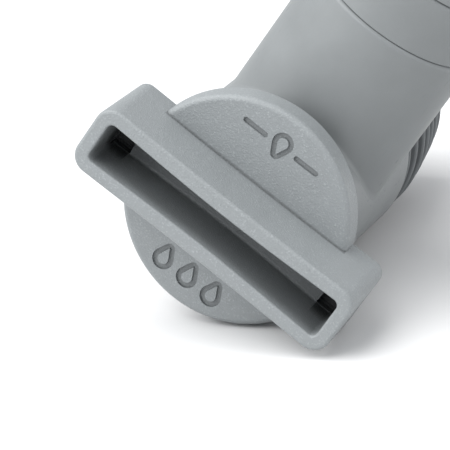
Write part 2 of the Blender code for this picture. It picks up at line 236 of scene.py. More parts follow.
def handling_group():
    """Uneven tone of a used moulding: broad clouds, and faint scuffs along one direction."""
    sockets = [("Base", (0.4, 0.4, 0.4, 1.0)), ("Tone Range", 0.06), ("Scuffs", 0.3)]
    outputs = [("Color", "NodeSocketColor"), ("Roughness Shift", "NodeSocketFloat")]
    group, given, out = new_group("Handling", sockets, outputs)
    place = node(group, "ShaderNodeTexCoord").outputs["Object"]
    clouds = node(group, "ShaderNodeTexNoise", [], [("Scale", 190.0), ("Detail", 4.0)],
                  [("Vector", place)]).outputs["Fac"]
    stretch = node(group, "ShaderNodeMapping", [], [("Scale", (5200.0, 700.0, 1500.0)),
                   ("Rotation", (0.3, 0.2, 0.6))], [("Vector", place)]).outputs["Vector"]
    hair = node(group, "ShaderNodeTexNoise", [], [("Scale", 1.0), ("Detail", 1.0)],
                [("Vector", stretch)]).outputs["Fac"]
    lines = node(group, "ShaderNodeMapRange", [("interpolation_type", "SMOOTHSTEP")],
                 [("From Min", 0.66), ("From Max", 0.8)], [("Value", hair)]).outputs["Result"]
    scuffs = node(group, "ShaderNodeMath", [("operation", "MULTIPLY")], [],
                  [(0, lines), (1, given.outputs["Scuffs"])]).outputs[0]
    swing = node(group, "ShaderNodeMapRange", [], [("From Min", 0.3), ("From Max", 0.7), ("To Min", -1.0)],
                 [("Value", clouds)]).outputs["Result"]
    tone = node(group, "ShaderNodeMath", [("operation", "MULTIPLY_ADD")], [(2, 1.0)],
                [(0, swing), (1, given.outputs["Tone Range"])]).outputs[0]
    lit = node(group, "ShaderNodeMath", [("operation", "MULTIPLY_ADD")], [(1, 0.12)],
               [(0, scuffs), (2, tone)]).outputs[0]
    colour = node(group, "ShaderNodeVectorMath", [("operation", "SCALE")], [],
                  [(0, given.outputs["Base"]), ("Scale", lit)]).outputs["Vector"]
    shift = node(group, "ShaderNodeMath", [("operation", "MULTIPLY_ADD")], [(1, 0.05)],
                 [(0, swing), (2, scuffs)]).outputs[0]
    group.links.new(colour, out.inputs["Color"])
    group.links.new(shift, out.inputs["Roughness Shift"])
    return group


def fleck_group():
    """Sparse dark specks of burnt resin or dust, about a tenth of a millimetre across."""
    sockets = [("Spacing", 0.003), ("Size", 0.05)]
    group, given, out = new_group("Flecks", sockets, [("Mask", "NodeSocketFloat")])
    place = node(group, "ShaderNodeTexCoord").outputs["Object"]
    scale = node(group, "ShaderNodeMath", [("operation", "DIVIDE")], [(0, 1.0)],
                 [(1, given.outputs["Spacing"])]).outputs[0]
    cells = node(group, "ShaderNodeTexVoronoi", [], [], [("Vector", place), ("Scale", scale)])
    inside = node(group, "ShaderNodeMapRange", [("interpolation_type", "SMOOTHSTEP")],
                  [("To Min", 1.0), ("To Max", 0.0)],
                  [("Value", cells.outputs["Distance"]), ("From Max", given.outputs["Size"])])
    chosen = node(group, "ShaderNodeSeparateColor", [], [], [("Color", cells.outputs["Color"])])
    few = node(group, "ShaderNodeMath", [("operation", "GREATER_THAN")], [(1, 0.45)],
               [(0, chosen.outputs["Red"])]).outputs[0]
    mask = node(group, "ShaderNodeMath", [("operation", "MULTIPLY")], [],
                [(0, inside.outputs["Result"]), (1, few)]).outputs[0]
    group.links.new(mask, out.inputs["Mask"])
    return group


spark_grain = spark_grain_group()
handling = handling_group()
flecks = fleck_group()


def moulded_plastic(name, base, roughness, pit, grain_depth, tone=0.05, scuff=0.25, speck=0.35,
                    painted_glint=0.1, sharpness=0.4):
    """Injection-moulded plastic: grained bump, clouded tone, scuffs, a few dark flecks and a painted
    highlight on some of the grain's pits.
    """
    material = bpy.data.materials.new(name)
    material.use_nodes = True
    tree = material.node_tree
    shader = tree.nodes["Principled BSDF"]
    shader.inputs["IOR"].default_value = 1.47
    grain = node(tree, "ShaderNodeGroup", [("node_tree", spark_grain)],
                 [("Pit Size", pit), ("Sharpness", sharpness)])
    worn = node(tree, "ShaderNodeGroup", [("node_tree", handling)],
                [("Base", (*base, 1.0)), ("Tone Range", tone), ("Scuffs", scuff)])
    dots = node(tree, "ShaderNodeGroup", [("node_tree", flecks)], [("Spacing", 0.0032), ("Size", 0.06)])
    dot_share = node(tree, "ShaderNodeMath", [("operation", "MULTIPLY")], [(1, speck)],
                     [(0, dots.outputs["Mask"])]).outputs[0]
    spotted = node(tree, "ShaderNodeMix", [("data_type", "RGBA")], [(7, (0.10, 0.105, 0.11, 1.0))],
                   [(0, dot_share), (6, worn.outputs["Color"])]).outputs[2]
    # Painted highlight: the glint mask lightens the base colour on some of the grain's pits.
    lift = node(tree, "ShaderNodeMath", [("operation", "MULTIPLY_ADD")], [(1, painted_glint), (2, 1.0)],
                [(0, grain.outputs["Painted Glint"])]).outputs[0]
    glint_painted_colour = node(tree, "ShaderNodeVectorMath", [("operation", "SCALE")], [],
                     [(0, spotted), ("Scale", lift)]).outputs["Vector"]
    tree.links.new(glint_painted_colour, shader.inputs["Base Color"])
    gloss = node(tree, "ShaderNodeMath", [("operation", "ADD"), ("use_clamp", True)], [(1, roughness)],
                 [(0, worn.outputs["Roughness Shift"])]).outputs[0]
    tree.links.new(gloss, shader.inputs["Roughness"])
    bump = node(tree, "ShaderNodeBump", [], [("Strength", 1.0), ("Distance", grain_depth)],
                [("Height", grain.outputs["Height"])])
    tree.links.new(bump.outputs["Normal"], shader.inputs["Normal"])
    return material


GREY = (0.231, 0.247, 0.253)
knob_grain = moulded_plastic("Grey spark-grained plastic", GREY, 0.42, 0.0002, 0.0001,
                             tone=0.03, scuff=0.15, speck=0.3, painted_glint=0.3, sharpness=0.3)


def figure(tree, operation, first, second):
    """A maths node; each operand is a number or a socket."""
    made = tree.nodes.new("ShaderNodeMath")
    made.operation = operation
    for number, operand in enumerate((first, second)):
        if isinstance(operand, float):
            made.inputs[number].default_value = operand
        else:
            tree.links.new(operand, made.inputs[number])
    return made.outputs[0]


disc_front_m, rim_height_m = 0.0295, 0.0371


def painted_shade_group():
    """Painted shade: darkens the bar's hollow (more towards its floor, most in the end pockets), the sunk
    marks and the crease at the bar's foot, where shade falls.
    """
    sockets = [("Disc Front", disc_front_m), ("Rim Height", rim_height_m)]
    group, given, out = new_group("Painted Shade", sockets, [("Mask", "NodeSocketFloat")])
    place = node(group, "ShaderNodeTexCoord").outputs["Object"]
    axes = node(group, "ShaderNodeSeparateXYZ", [], [], [(0, place)])
    flat = node(group, "ShaderNodeVectorMath", [("operation", "MULTIPLY")],
                [(1, (1.0, 1.0, 0.0))], [(0, place)])
    radius = node(group, "ShaderNodeVectorMath", [("operation", "LENGTH")], [],
                  [(0, flat.outputs["Vector"])]).outputs["Value"]
    hollow_half_length, hollow_half_width, reach_below_disc = 0.0168, 0.0028, 0.0013
    disc_edge, marks_edge, marks_start, foot_edge = 0.0137, 0.0128, 0.005, 0.0044
    hollow_share, pocket_share, marks_share, crease_share = 0.38, 0.85, 0.3, 0.38
    aside = figure(group, "ABSOLUTE", axes.outputs["Y"], 0.0)
    above_disc = figure(group, "SUBTRACT", axes.outputs["Z"], given.outputs["Disc Front"])
    below_rim = figure(group, "SUBTRACT", given.outputs["Rim Height"], axes.outputs["Z"])
    depth = node(group, "ShaderNodeMapRange", [("interpolation_type", "SMOOTHSTEP")],
                 [("From Min", 0.0), ("From Max", 0.0022)], [("Value", below_rim)]).outputs["Result"]
    along = figure(group, "ABSOLUTE", axes.outputs["X"], 0.0)
    inside = figure(group, "MULTIPLY", figure(group, "LESS_THAN", aside, hollow_half_width),
                    figure(group, "LESS_THAN", along, hollow_half_length))
    above_floor = figure(group, "GREATER_THAN", above_disc, -reach_below_disc)
    inside = figure(group, "MULTIPLY", inside, above_floor)
    hollow = figure(group, "MULTIPLY", depth, inside)
    sunk = figure(group, "LESS_THAN", above_disc, -0.00005)
    deep = node(group, "ShaderNodeMapRange", [("interpolation_type", "SMOOTHSTEP")],
                [("From Min", 0.0025), ("From Max", 0.0068)], [("Value", below_rim)]).outputs["Result"]
    pocket = figure(group, "MULTIPLY", figure(group, "MULTIPLY", inside, deep),
                    figure(group, "GREATER_THAN", along, disc_edge))
    marks = figure(group, "MULTIPLY", figure(group, "GREATER_THAN", aside, marks_start),
                   figure(group, "LESS_THAN", radius, marks_edge))
    foot = node(group, "ShaderNodeMapRange", [("interpolation_type", "SMOOTHSTEP")],
                [("From Min", 0.00008), ("From Max", 0.0004), ("To Min", 1.0), ("To Max", 0.0)],
                [("Value", figure(group, "ABSOLUTE", figure(group, "SUBTRACT", aside, foot_edge), 0.0))])
    level = node(group, "ShaderNodeMapRange", [("interpolation_type", "SMOOTHSTEP")],
                 [("From Min", 0.0001), ("From Max", 0.0003), ("To Min", 1.0), ("To Max", 0.0)],
                 [("Value", above_disc)])
    crease = figure(group, "MULTIPLY", foot.outputs["Result"], level.outputs["Result"])
    crease = figure(group, "MULTIPLY", crease, figure(group, "LESS_THAN", radius, disc_edge))
    total = figure(group, "MULTIPLY", hollow, hollow_share)
    total = figure(group, "MAXIMUM", total, figure(group, "MULTIPLY", pocket, pocket_share))
    in_marks = figure(group, "MULTIPLY", marks, sunk)
    total = figure(group, "MAXIMUM", total, figure(group, "MULTIPLY", in_marks, marks_share))
    total = figure(group, "MAXIMUM", total, figure(group, "MULTIPLY", crease, crease_share))
    group.links.new(total, out.inputs["Mask"])
    return group


# Painted shade: the knob's base colour is scaled down by the shade mask, so the hollow, its end pockets,
# the marks and the foot crease are darkened in the colour itself.
tree = knob_grain.node_tree
shader = tree.nodes["Principled BSDF"]
unshaded_colour = shader.inputs["Base Color"].links[0].from_socket
shade_overlay = node(tree, "ShaderNodeGroup", [("node_tree", painted_shade_group())],
             [("Disc Front", disc_front_m), ("Rim Height", rim_height_m)])
unshaded_share = figure(tree, "SUBTRACT", 1.0, shade_overlay.outputs["Mask"])
shaded_colour = node(tree, "ShaderNodeVectorMath", [("operation", "SCALE")], [],
              [(0, unshaded_colour), ("Scale", unshaded_share)]).outputs["Vector"]
tree.links.new(shaded_colour, shader.inputs["Base Color"])

knob_low, knob_high = box_mm("knob")
rim_z, knob_back = knob_high.z, knob_low.z
disc_radius = knob_high.y
disc_front = knob_back + 3.6
cavity_floor = rim_z - 7.6
pocket_floor = rim_z - 8.7
bar_wall = 1.8
end_wall = 1.7
bar_half_length = 18.0
bar_half_width = 4.6
bar_draft = 0.3
foot_taper = 0.27
foot_corner, rim_corner = 1.45, 2.15
mark_depth, edge_depth, clear_above = 0.3, 0.12, 0.3


def bar_ring(z, half_length, half_width, corner, bow):
    """One level of the bar: a rounded rectangle whose long sides bow inwards."""
    outline = []
    centre_x, centre_y = half_length - corner, half_width - corner
    for quarter, (side_x, side_y) in enumerate(((1, 1), (-1, 1), (-1, -1), (1, -1))):
        for step in range(9):
            angle = math.radians(90 * (quarter + step / 8))
            outline.append((side_x * centre_x + corner * math.cos(angle),
                            side_y * centre_y + corner * math.sin(angle)))
        if quarter % 2 == 0:
            long_side = side_y * half_width
            turn = -side_x
            for step in range(1, 24):
                outline.append((turn * centre_x * (step / 12 - 1), long_side))
    ring = []
    for x, y in outline:
        share = min(1.0, abs(x) / centre_x)
        dip = bow * math.cos(math.pi / 2 * share) ** 1.2
        ring.append((x, y - math.copysign(dip, y), z))
    return ring


def bar_outside():
    edge = 0.42
    levels = [(knob_back + 0.02, -0.3), (knob_back + 0.1, -0.12), (knob_back + 0.32, 0.0)]
    levels += [(knob_back + share * (rim_z - knob_back), 0.0) for share in (0.2, 0.4, 0.6, 0.8)]
    for step in range(8):
        angle = math.radians(90 * step / 7)
        levels.append((rim_z - edge * (1 - math.sin(angle)), -edge * (1 - math.cos(angle))))
    rings = []
    for z, grow in levels:
        share = (z - knob_back) / (rim_z - knob_back)
        half_length = bar_half_length - foot_taper * (1 - share) + grow
        half_width = bar_half_width - bar_draft * share + grow
        corner = foot_corner + (rim_corner - foot_corner) * share + grow * 0.8
        rings.append(bar_ring(z, half_length, half_width, corner, 0.16))
    return loft("bar_outside", rings)


def bar_hollow():
    edge, floor_fillet = 0.28, 0.35
    levels = [(rim_z + 0.6, edge)]
    for step in range(7):
        angle = math.radians(90 * step / 6)
        levels.append((rim_z - edge * (1 - math.cos(angle)), edge * (1 - math.sin(angle))))
    for share in (0.25, 0.5, 0.75):
        levels.append((rim_z - share * (rim_z - cavity_floor), -0.1 * share))
    for step in range(6):
        angle = math.radians(90 * step / 5)
        levels.append((cavity_floor + floor_fillet * (1 - math.sin(angle)),
                       -0.1 - floor_fillet * (1 - math.cos(angle))))
    rings = []
    for z, grow in levels:
        half_length = bar_half_length - end_wall + grow
        half_width = bar_half_width - bar_draft - bar_wall + 0.12 + grow
        rings.append(bar_ring(z, half_length, half_width, 0.75 + grow * 0.8, 0.38))
    return loft("bar_hollow", rings)


def end_pocket(side):
    """The hollow goes deeper past the disc's edge, with a wall that follows the disc."""
    outer = bar_half_length - end_wall - 0.2
    half_width = bar_half_width - bar_draft - bar_wall - 0.1
    rings = []
    for z, inset in ((cavity_floor + 1.2, 0.0), (pocket_floor + 0.3, 0.04), (pocket_floor, 0.3)):
        reach = half_width - inset
        points = [(outer - inset, y) for y in (-reach, reach)]
        for step in range(9):
            y = reach - 2 * reach * step / 8
            points.append((math.sqrt(disc_radius ** 2 - y ** 2) + 0.1 + inset, y))
        rings.append([(side * x, y, z) for x, y in points])
    return loft("end_pocket", rings)


def two_circle_outline(start, end, start_radius, end_radius, steps=14):
    """The outline round two circles, as a belt round two pulleys."""
    along = end - start
    tilt = math.asin((start_radius - end_radius) / along.length)
    heading = math.atan2(along.y, along.x)
    points = []
    for centre, radius, first, last in (
        (end, end_radius, -math.pi / 2 + tilt, math.pi / 2 - tilt),
        (start, start_radius, math.pi / 2 - tilt, 3 * math.pi / 2 + tilt),
    ):
        for step in range(steps + 1):
            angle = heading + first + (last - first) * step / steps
            points.append((centre.x + radius * math.cos(angle), centre.y + radius * math.sin(angle)))
    return points


def engraving(outlines):
    """A shallow groove whose walls lean out a little, as a mould's raised mark leaves it."""
    rings = []
    for outline, lean in outlines:
        levels = (disc_front - mark_depth, disc_front - edge_depth, disc_front + clear_above)
        level_rings = []
        for z, open_by in zip(levels, (0.0, 0.02, 0.12)):
            level_rings.append([(x, y, z) for x, y in outline(lean * open_by)])
        rings += level_rings if lean > 0 else list(reversed(level_rings))
    return loft("engraving", rings, hollow=len(outlines) == 2)


def block(name, half_x, half_y, levels):
    """A rectangular block along z; each level is a height and an inset of its sides."""
    rings = []
    for z, inset in levels:
        x, y = half_x - inset, half_y - inset
        rings.append([(-x, -y, z), (x, -y, z), (x, y, z), (-x, y, z)])
    return loft(name, rings)


def drop_mark(x, side):
    """An outlined drop with its tip towards the bar."""
    towards_bar = -side
    start = Vector((x, side * 10.35))
    end = start + Vector((0.0, towards_bar * 1.5))
    belly, point, stroke = 1.27, 0.62, 0.56

    def outer(grow):
        return two_circle_outline(start, end, belly + grow, point + grow)

    def inner(grow):
        return two_circle_outline(start, end, belly - stroke + grow, point - stroke + grow * 0.4)

    return engraving(((outer, 1), (inner, -1)))


def bar_mark(x, side):
    """A short dash beside the drop on the closed side."""
    start = Vector((x - 1.35, side * 9.9))
    end = Vector((x + 1.35, side * 9.9))

    def outline(grow):
        return two_circle_outline(start, end, 0.301 + grow, 0.3 + grow)

    return engraving(((outline, 1),))


knob = turned("knob_moulding", [
    (0.02, disc_front, 0), (disc_radius, disc_front, 0.72),
    (disc_radius, knob_back, 0.25), (0.02, knob_back, 0),
], sides=192, steps=8)
marks = [drop_mark(x, -1) for x in (-3.5, 0.0, 3.5)]
marks += [drop_mark(0.0, 1)] + [bar_mark(x, 1) for x in (-3.6, 3.6)]
worked(knob, marks)
worked(knob, [bar_outside()], "UNION")
socket_half, socket_top = 2.7, knob_back + 1.7
socket = block("socket", socket_half, socket_half, ((knob_back - 1, 0.0), (socket_top, 0.0)))
insert_low, insert_high = box_mm("threaded_insert")
insert_seat = rod("insert_seat", 2.0, knob_back + 1.5, insert_high.z + 0.1)
worked(knob, [bar_hollow(), end_pocket(-1), end_pocket(1), socket, insert_seat])
fit(smooth(knob), "plug_and_knob", "knob", knob_grain)

# Knob screw: a pan-head machine screw in stainless steel with a cross recess. From inside the
# plug's hollow, over a thin steel washer, it draws the knob down onto the square drive.


def metal(name, base, roughness, scale=(9000.0, 9000.0, 900.0), depth=0.000004):
    """Turned or drawn metal: fine lines in the bump, a clouded tone and a little stain."""
    material = bpy.data.materials.new(name)
    material.use_nodes = True
    tree = material.node_tree
    shader = tree.nodes["Principled BSDF"]
    shader.inputs["Metallic"].default_value = 1.0
    worn = node(tree, "ShaderNodeGroup", [("node_tree", handling)],
                [("Base", (*base, 1.0)), ("Tone Range", 0.12), ("Scuffs", 0.5)])
    tree.links.new(worn.outputs["Color"], shader.inputs["Base Color"])
    gloss = node(tree, "ShaderNodeMath", [("operation", "ADD")], [(1, roughness)],
                 [(0, worn.outputs["Roughness Shift"])]).outputs[0]
    tree.links.new(gloss, shader.inputs["Roughness"])
    place = node(tree, "ShaderNodeTexCoord").outputs["Object"]
    stretch = node(tree, "ShaderNodeMapping", [], [("Scale", scale)], [("Vector", place)])
    lines = node(tree, "ShaderNodeTexNoise", [], [("Scale", 1.0), ("Detail", 2.0)],
                 [("Vector", stretch.outputs["Vector"])])
    bump = node(tree, "ShaderNodeBump", [], [("Strength", 1.0), ("Distance", depth)],
                [("Height", lines.outputs["Fac"])])
    tree.links.new(bump.outputs["Normal"], shader.inputs["Normal"])
    return material


steel = metal("Stainless steel", (0.56, 0.56, 0.55), 0.28)
screw_low, screw_high = box_mm("knob_screw")
head_radius, head_top = screw_high.x, screw_low.z + 1.3
screw = turned("pan_head_screw", [
    (0.02, screw_high.z, 0), (0.5, screw_high.z, 0.1), (1.2, screw_high.z - 0.8, 0.1), (1.2, head_top, 0.1),
    (head_radius, head_top, 0.12), (head_radius, screw_low.z, 0.75), (0.02, screw_low.z, 0),
], sides=72)
recess_levels = ((screw_low.z - 0.5, 0.0), (screw_low.z + 0.3, 0.0), (screw_low.z + 0.8, 0.16))
recess_half_length, recess_half_width = 1.1, 0.25
worked(screw, [
    block("cross_arm", recess_half_length, recess_half_width, recess_levels),
    block("cross_arm", recess_half_width, recess_half_length, recess_levels),
])
fit(smooth(screw), "plug_and_knob", "knob_screw", steel)


def washer(name, body, part, inner, material, edge=0.08, sides=96):
    """A flat ring with its punched or moulded edges broken."""
    low, high = box_mm(part)
    corners = [(high.x, high.z, edge), (high.x, low.z, edge), (inner, low.z, edge), (inner, high.z, edge)]
    piece = turned(name, corners, sides=sides, steps=3)
    return fit(smooth(piece), body, part, material)


washer("screw_washer_ring", "plug_and_knob", "screw_washer", 1.4, steel)

# Valve plug: turned from natural acetal, hollow below, with one round side port and a stem
# that ends in a square drive. The knob's brass bush passes down it to take the screw, and a
# steel pin in its shoulder stops the half turn.
acetal = moulded_plastic("Natural acetal", (0.76, 0.76, 0.72), 0.36, 0.0004, 0.000006,
                         tone=0.02, scuff=0.3, speck=0.0, painted_glint=0.0)
brass = metal("Turned brass", (0.72, 0.53, 0.24), 0.25)
plug_low, plug_high = box_mm("valve_plug")
plug_radius = plug_high.x
ring_low, ring_high = box_mm("outlet_ring")
branch_axis = (ring_low.z + ring_high.z) / 2
port_radius = 4.6
stem_radius = 3.9
shoulder = knob_back - 4.5
stem_groove, stem_groove_low, stem_groove_high = 3.1, 24.0, 25.0
seal_groove, seal_groove_low, seal_groove_high = 7.4, 17.6, 19.2
hollow_radius, hollow_roof = 6.4, 16.6
plug = turned("plug_turning", [
    (0.02, knob_back - 0.1, 0), (stem_radius, knob_back - 0.1, 0.2),
    (stem_radius, stem_groove_high, 0.05), (stem_groove, stem_groove_high, 0.1),
    (stem_groove, stem_groove_low, 0.1), (stem_radius, stem_groove_low, 0.05),
    (stem_radius, shoulder, 0.3), (plug_radius, shoulder, 0.3),
    (plug_radius, seal_groove_high, 0.06), (seal_groove, seal_groove_high, 0.2),
    (seal_groove, seal_groove_low, 0.2), (plug_radius, seal_groove_low, 0.06),
    (plug_radius, plug_low.z, 0.25), (hollow_radius, plug_low.z, 0.25),
    (hollow_radius, hollow_roof, 0.8), (0.02, hollow_roof, 0),
])
drive_half, drive_edge = 2.6, 0.25
drive_levels = ((knob_back - 0.9, 0.0), (plug_high.z - drive_edge, 0.0), (plug_high.z, drive_edge))
worked(plug, [block("square_drive", drive_half, drive_half, drive_levels)], "UNION")
pin_low, pin_high = box_mm("stop_pin")
pin_x = (pin_low.x + pin_high.x) / 2
pin_radius = (pin_high.x - pin_low.x) / 2
worked(plug, [
    rod("plug_port", port_radius, -12, -3, axis_z=branch_axis),
    rod("insert_hole", 2.0, 20.5, 29, sides=48),
    rod("screw_hole", 1.4, 15, 21, sides=48),
    rod("pin_hole", pin_radius + 0.05, pin_low.z - 0.2, shoulder + 1, sides=32, axis_xy=(pin_x, 0.0)),
])
fit(smooth(plug), "plug_and_knob", "valve_plug", acetal)
pin = rod("dowel_pin", pin_radius, pin_low.z, pin_high.z, sides=40, axis_xy=(pin_x, 0.0), edge=0.15)
fit(smooth(pin), "plug_and_knob", "stop_pin", steel)
flutes = [(insert_high.x, insert_high.z, 0.1)]
for turn in range(8):
    z = insert_high.z - 0.6 - turn * 0.7
    flutes += [(insert_high.x, z, 0.03), (insert_high.x - 0.18, z - 0.15, 0.03),
               (insert_high.x - 0.18, z - 0.35, 0.03), (insert_high.x, z - 0.5, 0.03)]
flutes += [(insert_high.x, insert_low.z, 0.1), (1.3, insert_low.z, 0.1), (1.3, insert_high.z, 0.15)]
insert = turned("brass_insert", flutes, sides=64, steps=2)
fit(smooth(insert), "plug_and_knob", "threaded_insert", brass)

# Seals: black nitrile O-rings, round in section, in turned grooves. The port seal is a saddle
# ring moulded to the plug's curve, set in a recess round the port of the body.


def elastomer(name, base, roughness):
    """Soft moulded rubber: dull, slightly mottled, with a dusty bloom in patches."""
    material = bpy.data.materials.new(name)
    material.use_nodes = True
    tree = material.node_tree
    shader = tree.nodes["Principled BSDF"]
    worn = node(tree, "ShaderNodeGroup", [("node_tree", handling)],
                [("Base", (*base, 1.0)), ("Tone Range", 0.1), ("Scuffs", 0.2)])
    tree.links.new(worn.outputs["Color"], shader.inputs["Base Color"])
    gloss = node(tree, "ShaderNodeMath", [("operation", "ADD"), ("use_clamp", True)], [(1, roughness)],
                 [(0, worn.outputs["Roughness Shift"])]).outputs[0]
    tree.links.new(gloss, shader.inputs["Roughness"])
    grain = node(tree, "ShaderNodeGroup", [("node_tree", spark_grain)],
                 [("Pit Size", 0.00012), ("Sharpness", 0.1)])
    bump = node(tree, "ShaderNodeBump", [], [("Strength", 1.0), ("Distance", 0.00001)],
                [("Height", grain.outputs["Height"])])
    tree.links.new(bump.outputs["Normal"], shader.inputs["Normal"])
    return material


nitrile = elastomer("Black nitrile rubber", (0.028, 0.028, 0.03), 0.62)


def o_ring(name, body, part, along_branch=False):
    low, high = box_mm(part)
    thickness = (high.y - low.y) if along_branch else (high.z - low.z)
    middle = (high.y + low.y) / 2 if along_branch else (high.z + low.z) / 2
    wire = thickness / 2 / math.cos(math.radians(30)) * 0.98
    centre = high.x - wire
    section = []
    for step in range(16):
        angle = math.tau * step / 16
        section.append((centre + wire * math.cos(angle), middle - wire * math.sin(angle), 0))
    axis = branch_axis if along_branch else None
    piece = turned(name, section, sides=96, axis_z=axis)
    return fit(smooth(piece, 80), body, part, nitrile)


o_ring("plug_seal", "plug_and_knob", "plug_oring")
o_ring("stem_seal", "plug_and_knob", "stem_oring")
o_ring("core_seal", "body", "core_oring")
o_ring("outlet_seal", "body", "outlet_oring", along_branch=True)
o_ring("nozzle_seal", "swivel_nozzle", "nozzle_oring", along_branch=True)
saddle = turned("saddle_seal", [
    (5.7, 4, 0), (5.7, 12, 0), (port_radius + 0.1, 12, 0), (port_radius + 0.1, 4, 0),
], sides=96, axis_z=branch_axis)
worked(saddle, [rod("seal_back", 9.74, 0, 22, sides=144)], "INTERSECT")
worked(saddle, [rod("seal_front", plug_radius + 0.13, -1, 23, sides=144)])
fit(smooth(saddle), "body", "port_seal", nitrile)

# Bearings: the plug turns between two thin washers, and its stem in a bush, all cut from
# natural acetal. The bush is pressed into the barrel's top wall; the washers float.
washer("stem_bushing", "body", "stem_bush", 4.0, acetal, edge=0.2)
washer("upper_thrust_washer", "body", "thrust_washer", 4.1, acetal)
washer("lower_thrust_washer", "body", "lower_washer", 6.6, acetal)

# Valve body: barrel and branch tube in one satin grey moulding. The branch leaves the barrel
# at a right angle with a small fillet, and its end has a rounded lip round the outlet ring.
satin_grey = moulded_plastic("Satin grey plastic", (0.188, 0.2, 0.203), 0.42, 0.00014, 0.00001,
                             tone=0.045, scuff=0.25, speck=0.75, painted_glint=0.04, sharpness=0.2)
body_low, body_high = box_mm("valve_body")
barrel_radius, barrel_top, branch_end = body_high.x, body_high.z, body_high.y
branch_radius = ring_high.x + 0.25
barrel_draft = 0.35
barrel = turned("valve_body_moulding", [
    (0.02, barrel_top, 0), (barrel_radius - barrel_draft, barrel_top, 0.4),
    (barrel_radius, body_low.z, 0.35), (0.02, body_low.z, 0),
], sides=192)


def barrel_at(z):
    """The barrel's radius at a level; its draft makes it narrower towards the knob."""
    return barrel_radius - barrel_draft * max(z, 0.0) / barrel_top


def branch_tube(sides=192):
    """Rings from the lip to the barrel; the last ones flare out to meet it in a fillet."""
    lip, fillet = 0.5, 0.42
    rings = []
    for step in range(7):
        angle = math.radians(90 * step / 6)
        rings.append([])
        for side in range(sides):
            turn = math.tau * side / sides
            radius = branch_radius - lip * (1 - math.sin(angle))
            rings[-1].append((radius * math.cos(turn), branch_end - lip * (1 - math.cos(angle)),
                              branch_axis + radius * math.sin(turn)))
    for step in range(8):
        share = step / 7
        ring = []
        for side in range(sides):
            turn = math.tau * side / sides
            wall_x = branch_radius * math.cos(turn)
            meet = math.sqrt(barrel_at(branch_axis + branch_radius * math.sin(turn)) ** 2 - wall_x ** 2)
            wide = branch_radius + fillet
            wide_x = wide * math.cos(turn)
            level_radius = barrel_at(branch_axis + wide * math.sin(turn))
            far = math.sqrt(max(level_radius ** 2 - wide_x ** 2, 0.0)) - 0.03
            start = Vector((branch_radius, meet + fillet * 1.3))
            middle = Vector((branch_radius, meet))
            end = Vector((wide, far))
            spot = start * (1 - share) ** 2 + middle * 2 * share * (1 - share) + end * share ** 2
            z = branch_axis + spot.x * math.sin(turn)
            ring.append((spot.x * math.cos(turn), spot.y, max(z, body_low.z + 0.06)))
        rings.append(ring)
    for radius, y in ((branch_radius - 0.6, 1.2), (branch_radius - 2.0, 1.0)):
        rings.append([(radius * math.cos(math.tau * side / sides), y,
                       branch_axis + radius * math.sin(math.tau * side / sides)) for side in range(sides)])
    return loft("branch_tube", rings)


worked(barrel, [branch_tube()], "UNION")
plug_bore = 8.8
ceiling = knob_back - 3.5
recess = rod("seal_recess", 5.9, 4, 12, axis_z=branch_axis)
worked(recess, [rod("recess_depth", 9.95, 0, 22, sides=144)], "INTERSECT")
groove_radius, groove_inner, groove_outer, groove_top = 7.3, 6.3, 8.3, 24.3
groove = turned("stop_groove", [
    (groove_outer, groove_top, 0), (groove_outer, ceiling - 0.5, 0),
    (groove_inner, ceiling - 0.5, 0), (groove_inner, groove_top, 0),
])
land_ring = [(-10, -10), (10, -10), (10, 0), (-10, 0)]
worked(groove, [loft("land", [[(x, y, z) for x, y in land_ring] for z in (21, 26)])])
groove_ends = [
    rod("groove_end", 1.0, ceiling - 0.6, 24.29, sides=40, axis_xy=(x, 0.0))
    for x in (-groove_radius, groove_radius)
]
worked(groove, groove_ends, "UNION")
worked(barrel, [
    rod("plug_bore", plug_bore, -1, ceiling, sides=144),
    rod("core_seat", 9.6, -1.5, 3.6, sides=144),
    rod("stem_hole", 5.2, ceiling - 1, barrel_top + 1),
    rod("body_port", port_radius, 4, 14, axis_z=branch_axis),
    rod("outlet_bore", 9.0, 12.4, branch_end + 1, sides=144, axis_z=branch_axis),
])
worked(barrel, [recess, groove])
fit(smooth(barrel), "body", "valve_body", satin_grey)

# Stopper: a grey moulded core closes the barrel with its flange and carries the sleeve, a soft
# grey elastomer moulding with seven sealing rings that press against the bottle's neck.
soft_grey = elastomer("Soft grey elastomer", (0.13, 0.14, 0.145), 0.6)
core_low, core_high = box_mm("stopper_core")
flange, core_radius, core_bore = core_high.x, 7.0, 5.4
core_groove, core_groove_low, core_groove_high = 8.35, 1.0, 2.4
sleeve_low, sleeve_high = box_mm("finned_sleeve")
core = turned("core_moulding", [
    (flange, core_high.z, 0.2), (flange, core_groove_high, 0.05), (core_groove, core_groove_high, 0.15),
    (core_groove, core_groove_low, 0.15), (flange, core_groove_low, 0.05),
    (flange, 0.1, 0.2), (core_radius, 0.1, 0.3),
    (core_radius, sleeve_low.z - 0.3, 0.1), (core_radius + 0.8, sleeve_low.z - 0.3, 0.15),
    (core_radius - 0.3, core_low.z, 0.4), (core_bore, core_low.z, 0.3), (core_bore, core_high.z, 0.3),
])
fit(smooth(core), "body", "stopper_core", satin_grey)
root, bore, pitch, first_ring = 8.4, 7.2, 3.17, -1.3
section = [(root, sleeve_high.z, 0.2)]
for number, radius in enumerate((12.0, 12.0, 12.0, 11.7, 11.3, 10.9, 10.4)):
    middle = first_ring - number * pitch
    section += [(root, middle + 0.62, 0.3), (radius, middle + 0.42, 0.36),
                (radius, middle - 0.38, 0.36), (root, middle - 0.62, 0.3)]
section += [(root - 0.2, sleeve_low.z, 0.5), (bore, sleeve_low.z, 0.2), (bore, sleeve_high.z, 0.2)]
fit(smooth(turned("ringed_sleeve", section), 50), "body", "finned_sleeve", soft_grey)

